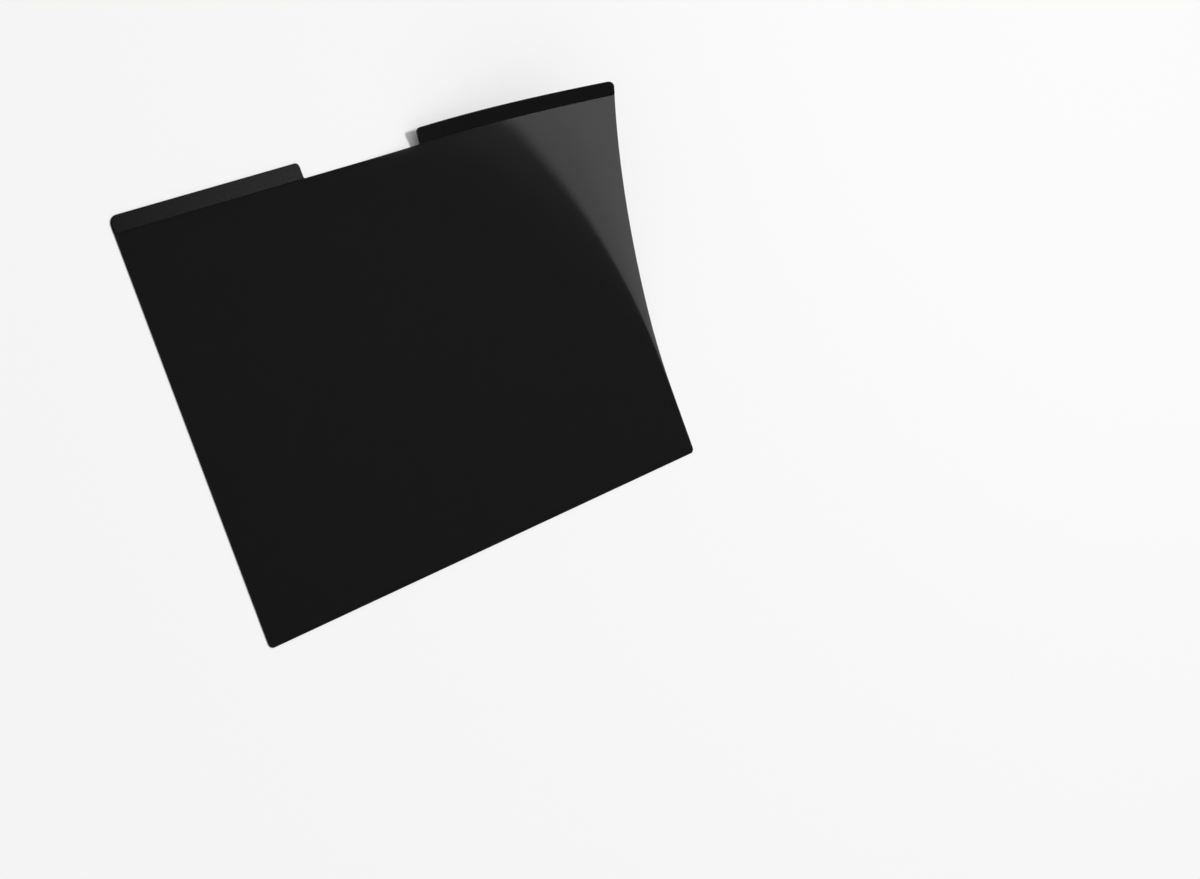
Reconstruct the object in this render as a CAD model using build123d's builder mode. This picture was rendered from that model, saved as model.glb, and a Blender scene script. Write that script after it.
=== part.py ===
"""Laptop privacy filter: a die-cut louvre film with two tabs, and a magnet strip bonded on each tab.

The filter lies on its back, and the corner by which it is peeled off keeps a soft curl. +X runs across
it to the right, +Y up it towards the tabs, and +Z out of its front. The origin is the middle of the
film's back face. Millimetres.
"""

from build123d import *
import math
import os

# The film's flat cut: its overall size and its outer corners
film_width = 330.0
film_height = 230.0  # from the bottom edge to the top of the tabs
film_thickness = 0.5
top_corner_radius = 5.0
bottom_corner_radius = 3.0

# The notch in the middle of the top edge, which leaves a tab on each side of it
notch_width = 82.0
notch_depth = 9.0
notch_root_radius = 1.0
tab_end_radius = 2.5  # upper corner of a tab, beside the notch

# The magnet strips on the tabs
strip_thickness = 0.35
strip_glue = 0.1  # room for the adhesive between a strip and the film
strip_margin = 0.4  # from the tab's cut edge to the strip
strip_foot_radius = 0.8  # lower corners of a strip
strip_edge_round = 0.12  # upper rim of a strip

# The curl of the upper right corner
curl_across = 180.0  # along the top edge, from the corner to where the curl starts
curl_down = 190.0  # the same, down the right edge
curl_radius = 160.0  # of the film's back

film_right = film_width / 2
film_top = film_height / 2
notch_right = notch_width / 2
notch_floor = film_top - notch_depth

# The line that the curl starts on, and the plane across that line in which the curl is drawn
curl_start = Vector(film_right - curl_across, film_top)
along_line = Vector(curl_across, -curl_down).normalized()
to_corner = Vector(curl_down, curl_across).normalized()
curl_plane = Plane(origin=curl_start, x_dir=to_corner, z_dir=along_line)
curl_depth = (Vector(film_right, film_top) - curl_start).dot(to_corner)
curl_turn = math.degrees((curl_depth + top_corner_radius) / curl_radius)  # a little past the corner
reach = film_width + film_height  # longer than the sheet in any direction


def uncut_sheet(back, front):
    """A sheet between two heights over the floor: flat up to the line, and curled up from there."""
    with BuildPart() as sheet:
        with BuildSketch(curl_plane):
            with BuildLine():
                Line((-reach, back), (0, back))
                back_curl = CenterArc((0, curl_radius), curl_radius - back, -90, curl_turn)
                front_curl = CenterArc((0, curl_radius), curl_radius - front, -90, curl_turn)
                Line(back_curl @ 1, front_curl @ 1)
                Line((0, front), (-reach, front))
                Line((-reach, front), (-reach, back))
            make_face()
        extrude(amount=reach, both=True)
    return sheet.part


def seen_from_above(x, y):
    """Where a point of the flat cut is seen from above: the curl draws it back towards the line."""
    past_line = max(0.0, (Vector(x, y) - curl_start).dot(to_corner))
    drawn_back = past_line - curl_radius * math.sin(past_line / curl_radius)
    return Vector(x, y) - to_corner * drawn_back


os.makedirs("parts", exist_ok=True)
film_sheet = uncut_sheet(0, film_thickness)
strip_back = film_thickness + strip_glue
strip_sheet = uncut_sheet(strip_back, strip_back + strip_thickness)

# The film: one sheet cut to its outline. The curl draws in the first stretch of the right edge so little
# that it is cut straight, and the edge is an arc from there to the corner
straight_share = 0.25  # of the right edge's way up the curl
right_edge_bend = film_top - (1 - straight_share) * curl_down
film_corner = seen_from_above(film_right, film_top)
right_tab_end = seen_from_above(notch_right, film_top)
right_notch_root = seen_from_above(notch_right, notch_floor)

with BuildPart() as film:
    add(film_sheet)
    with BuildSketch(Plane.XY.offset(-film_thickness)) as film_outline:
        with BuildLine():
            TangentArc(right_tab_end, film_corner, tangent=(1, 0))
            TangentArc((film_right, right_edge_bend), film_corner, tangent=(0, 1))
            Polyline(
                right_tab_end,
                right_notch_root,
                (-notch_right, notch_floor),
                (-notch_right, film_top),
                (-film_right, film_top),
                (-film_right, -film_top),
                (film_right, -film_top),
                (film_right, right_edge_bend),
            )
        make_face()
        for corner, radius in (
            ((-film_right, -film_top), bottom_corner_radius),
            ((film_right, -film_top), bottom_corner_radius),
            ((-film_right, film_top), top_corner_radius),
            (film_corner, top_corner_radius),
            ((-notch_right, film_top), tab_end_radius),
            (right_tab_end, tab_end_radius),
            ((-notch_right, notch_floor), notch_root_radius),
            (right_notch_root, notch_root_radius),
        ):
            fillet(film_outline.vertices().sort_by_distance(corner)[0], radius=radius)
    extrude(amount=film_height, mode=Mode.INTERSECT)

# The strips follow their tabs' outlines at the margin and end at the height of the notch's floor
strip_outer_end = film_right - strip_margin
strip_inner_end = notch_right + strip_margin
strip_top = film_top - strip_margin
outer_top_radius = top_corner_radius - strip_margin
inner_top_radius = tab_end_radius - strip_margin

# The left strip lies flat
with BuildPart() as left_strip:
    add(strip_sheet)
    with BuildSketch(Plane.XY.offset(-film_thickness)) as left_outline:
        with Locations((-strip_outer_end, notch_floor)):
            Rectangle(strip_outer_end - strip_inner_end, strip_top - notch_floor, align=Align.MIN)
        for corner, radius in (
            ((-strip_outer_end, notch_floor), strip_foot_radius),
            ((-strip_inner_end, notch_floor), strip_foot_radius),
            ((-strip_outer_end, strip_top), outer_top_radius),
            ((-strip_inner_end, strip_top), inner_top_radius),
        ):
            fillet(left_outline.vertices().sort_by_distance(corner)[0], radius=radius)
    extrude(amount=film_height, mode=Mode.INTERSECT)
    fillet(left_strip.faces().sort_by(Axis.Z)[-1].edges(), radius=strip_edge_round)

# The right strip is the same cut, mirrored, and it goes up with the curl
outer_foot = seen_from_above(strip_outer_end, notch_floor)
inner_foot = seen_from_above(strip_inner_end, notch_floor)
outer_top = seen_from_above(strip_outer_end, strip_top)
inner_top = seen_from_above(strip_inner_end, strip_top)

with BuildPart() as right_strip:
    add(strip_sheet)
    with BuildSketch(Plane.XY.offset(-film_thickness)) as right_outline:
        with BuildLine():
            TangentArc(inner_foot, outer_foot, tangent=(1, 0))
            Line(outer_foot, outer_top)
            TangentArc(inner_top, outer_top, tangent=(1, 0))
            Line(inner_top, inner_foot)
        make_face()
        for corner, radius in (
            (outer_foot, strip_foot_radius),
            (inner_foot, strip_foot_radius),
            (outer_top, outer_top_radius),
            (inner_top, inner_top_radius),
        ):
            fillet(right_outline.vertices().sort_by_distance(corner)[0], radius=radius)
    extrude(amount=film_height, mode=Mode.INTERSECT)
    front_and_back = right_strip.faces().sort_by(SortBy.AREA)[-2:]
    fillet(front_and_back.sort_by(Axis.Z)[-1].edges(), radius=strip_edge_round)

film.part.label = "privacy_film"
left_strip.part.label = "left_magnet_strip"
right_strip.part.label = "right_magnet_strip"
export_step(film.part, "parts/privacy_film.step")
export_step(left_strip.part, "parts/left_magnet_strip.step")
export_step(right_strip.part, "parts/right_magnet_strip.step")
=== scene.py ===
"""Looks of a laptop privacy filter that lies on a pale floor, seen from where the photograph sees it."""

import bpy
from mathutils import Matrix, Vector

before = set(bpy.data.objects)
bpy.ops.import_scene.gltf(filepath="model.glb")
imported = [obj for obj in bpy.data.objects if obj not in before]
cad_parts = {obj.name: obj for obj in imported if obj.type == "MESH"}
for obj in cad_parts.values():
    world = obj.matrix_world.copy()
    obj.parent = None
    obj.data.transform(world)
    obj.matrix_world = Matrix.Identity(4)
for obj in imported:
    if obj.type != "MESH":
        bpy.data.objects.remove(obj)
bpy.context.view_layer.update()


# Louvre film
# One die-cut sheet of plastic laminate: fine black louvres that run up the sheet, between clear cover
# films. Its front is matte against glare, its back is glossy, and its cut edge shows the clear films.
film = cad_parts["privacy_film"]
film_black = (0.0008, 0.0008, 0.0009, 1)
film_black_between = (0.0016, 0.0016, 0.0018, 1)
film_cut_edge = (0.075, 0.077, 0.08, 1)
film_cover = 0.72  # of each face, so that about a twelfth of the light comes through the sheet
film_shine = 0.025
matte_front_rough = (0.40, 0.50)
glossy_back_rough = 0.16
louvres_per_metre = 900
louvre_stretch = (1, 0.01, 0.01)  # fine across the sheet, and long up it
film_grain_per_metre = 2600
film_grain_strength = 0.12
film_grain_depth = 0.00005
noise_span = (0.3, 0.7)  # nearly all of a noise lies between these
flat_span = (0.2, 0.5)  # how flat a place lies, from the cut edge to the faces
back_span = (-0.6, -0.2)  # how far up a place faces, from the back to the rest


def new_material(name):
    """A material with a plain principled finish: gives it, its nodes, its links and its shader."""
    made = bpy.data.materials.new(name)
    made.use_nodes = True
    tree = made.node_tree
    return made, tree.nodes, tree.links, tree.nodes["Principled BSDF"]


def spread(nodes, links, value, low, high, start=0.0, end=1.0):
    """Maps a value that runs from start to end onto low to high."""
    node = nodes.new("ShaderNodeMapRange")
    node.inputs["From Min"].default_value = start
    node.inputs["From Max"].default_value = end
    node.inputs["To Min"].default_value = low
    node.inputs["To Max"].default_value = high
    links.new(value, node.inputs["Value"])
    return node.outputs["Result"]


def noise(nodes, links, place, per_metre, detail=2.0, stretch=(1, 1, 1)):
    """Fine noise on the piece's own coordinates, drawn out along an axis where its stretch is small."""
    squeeze = nodes.new("ShaderNodeMapping")
    squeeze.inputs["Scale"].default_value = stretch
    links.new(place.outputs["Object"], squeeze.inputs["Vector"])
    node = nodes.new("ShaderNodeTexNoise")
    node.inputs["Scale"].default_value = per_metre
    node.inputs["Detail"].default_value = detail
    links.new(squeeze.outputs["Vector"], node.inputs["Vector"])
    return node.outputs["Fac"]


def mix(nodes, links, kind, factor, first, second):
    """Goes from the first colour or number to the second as the factor goes from 0 to 1."""
    node = nodes.new("ShaderNodeMix")
    node.data_type = kind
    for socket, value in (("A", first), ("B", second)):
        if hasattr(value, "node"):
            links.new(value, node.inputs[socket])
        else:
            node.inputs[socket].default_value = value
    links.new(factor, node.inputs["Factor"])
    return node.outputs["Result"]


def raise_grain(nodes, links, shader, height, strength, depth):
    """Lets a fine grain stand up from the surface."""
    bump = nodes.new("ShaderNodeBump")
    bump.inputs["Strength"].default_value = strength
    bump.inputs["Distance"].default_value = depth
    links.new(height, bump.inputs["Height"])
    links.new(bump.outputs["Normal"], shader.inputs["Normal"])


def dress(piece, finish):
    """Gives a CAD piece its finish."""
    piece.data.materials.clear()
    piece.data.materials.append(finish)


louvre_film, nodes, links, shader = new_material("louvre_film")
shader.inputs["Specular IOR Level"].default_value = film_shine
shader.inputs["Alpha"].default_value = film_cover

place = nodes.new("ShaderNodeTexCoord")
normal = nodes.new("ShaderNodeSeparateXYZ")
links.new(place.outputs["Normal"], normal.inputs["Vector"])
flatness = nodes.new("ShaderNodeMath")
flatness.operation = "ABSOLUTE"
links.new(normal.outputs["Z"], flatness.inputs[0])
on_cut_edge = spread(nodes, links, flatness.outputs[0], 1, 0, *flat_span)
on_back = spread(nodes, links, normal.outputs["Z"], 1, 0, *back_span)

louvres = noise(nodes, links, place, louvres_per_metre, stretch=louvre_stretch)
face_colour = mix(nodes, links, "RGBA", louvres, film_black, film_black_between)
film_colour = mix(nodes, links, "RGBA", on_cut_edge, face_colour, film_cut_edge)
links.new(film_colour, shader.inputs["Base Color"])

grain = noise(nodes, links, place, film_grain_per_metre)
front_rough = spread(nodes, links, grain, *matte_front_rough, *noise_span)
film_rough = mix(nodes, links, "FLOAT", on_back, front_rough, glossy_back_rough)
links.new(film_rough, shader.inputs["Roughness"])
raise_grain(nodes, links, shader, grain, film_grain_strength, film_grain_depth)
dress(film, louvre_film)


# Magnet strips
# Flexible magnet sheet with a smooth satin black face that is faintly clouded and grained. Each strip is
# cut to its tab's outline and bonded on the tab's front.
strip_black = (0.0012, 0.0012, 0.0013, 1)
strip_black_clouded = (0.0022, 0.0022, 0.0024, 1)
strip_shine = 0.08
strip_rough = (0.22, 0.30)
strip_clouds_per_metre = 60
strip_grain_per_metre = 1500
strip_grain_detail = 3.0
strip_grain_strength = 0.1
strip_grain_depth = 0.00008

magnet_strip, nodes, links, shader = new_material("magnet_strip")
shader.inputs["Specular IOR Level"].default_value = strip_shine
place = nodes.new("ShaderNodeTexCoord")
clouds = noise(nodes, links, place, strip_clouds_per_metre)
strip_colour = mix(nodes, links, "RGBA", clouds, strip_black, strip_black_clouded)
links.new(strip_colour, shader.inputs["Base Color"])
grain = noise(nodes, links, place, strip_grain_per_metre, strip_grain_detail)
links.new(spread(nodes, links, grain, *strip_rough, *noise_span), shader.inputs["Roughness"])
raise_grain(nodes, links, shader, grain, strip_grain_strength, strip_grain_depth)
for side in ("left", "right"):
    dress(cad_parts[f"{side}_magnet_strip"], magnet_strip)


# Floor
# A plain matte pale floor that the filter lies on, so wide that its edge stays out of sight, and a hair
# below the film's back, so that the two faces don't share a plane.
floor_side = 40.0
floor_drop = 0.00005
floor_pale = (0.95, 0.95, 0.95, 1)
floor_rough = 0.9
floor_shine = 0.0

bpy.ops.mesh.primitive_plane_add(size=floor_side, location=(0, 0, -floor_drop))
floor = bpy.context.object
floor.name = "floor"
pale_floor, nodes, links, shader = new_material("pale_floor")
shader.inputs["Base Color"].default_value = floor_pale
shader.inputs["Roughness"].default_value = floor_rough
shader.inputs["Specular IOR Level"].default_value = floor_shine
floor.data.materials.append(pale_floor)


# Studio light
# An even surround as pale as the floor where it is seen or mirrored, a broad key from the right that lights
# the floor under the lifted corner and isn't mirrored, and a soft box that the satin strips mirror.
surround_white = (1, 1, 1, 1)
surround_light = 0.45
surround_seen = 0.88
key_place = (1.2, 0.0, 1.5)
key_aim = (0, 0, 0)
key_strength = 1.86
key_angle = 0.2
box_place = (0.93, 0.12, 1.15)
box_aim = (0, 0.11, 0)
box_side = 0.35
box_watts = 1.8

world = bpy.data.worlds.new("studio")
bpy.context.scene.world = world
world.use_nodes = True
nodes = world.node_tree.nodes
links = world.node_tree.links
surround = nodes["Background"]
surround.inputs["Color"].default_value = surround_white
ray = nodes.new("ShaderNodeLightPath")
is_seen = ray.outputs["Is Camera Ray"]
for ray_kind in ("Is Glossy Ray", "Is Transmission Ray"):
    either = nodes.new("ShaderNodeMath")
    either.operation = "MAXIMUM"
    links.new(is_seen, either.inputs[0])
    links.new(ray.outputs[ray_kind], either.inputs[1])
    is_seen = either.outputs[0]
strength = spread(nodes, links, is_seen, surround_light, surround_seen)
links.new(strength, surround.inputs["Strength"])


def add_lamp(name, kind, lamp_place, lamp_aim):
    """A lamp at its place, turned to its aim."""
    lamp = bpy.data.objects.new(name, bpy.data.lights.new(name, kind))
    bpy.context.scene.collection.objects.link(lamp)
    turn = (Vector(lamp_aim) - Vector(lamp_place)).to_track_quat("-Z", "Y")
    lamp.matrix_world = Matrix.Translation(lamp_place) @ turn.to_matrix().to_4x4()
    return lamp


key = add_lamp("key", "SUN", key_place, key_aim)
key.data.energy = key_strength
key.data.angle = key_angle
key.visible_glossy = False

box = add_lamp("soft_box", "AREA", box_place, box_aim)
box.data.size = box_side
box.data.energy = box_watts


# Camera
# The photograph's own camera, placed from the film's outline in it: its place, where it looks on the
# floor, and which way is up in the picture, with the lens that the outline asks for.
camera_place = Vector((-0.8234, 0.0156, 0.9921))
camera_aim = Vector((0.0966, -0.0854, 0.0))
picture_up = Vector((0.2973, 0.9376, 0.1803))
lens_in_picture_widths = 1.96

camera_data = bpy.data.cameras.new("camera")
camera_data.lens = lens_in_picture_widths * camera_data.sensor_width
camera = bpy.data.objects.new("camera", camera_data)
bpy.context.scene.collection.objects.link(camera)
backward = (camera_place - camera_aim).normalized()
sideways = picture_up.cross(backward).normalized()
upward = backward.cross(sideways)
camera_turn = Matrix((sideways, upward, backward)).transposed().to_4x4()
camera.matrix_world = Matrix.Translation(camera_place) @ camera_turn
bpy.context.scene.camera = camera
bpy.context.scene.view_settings.view_transform = "Standard"
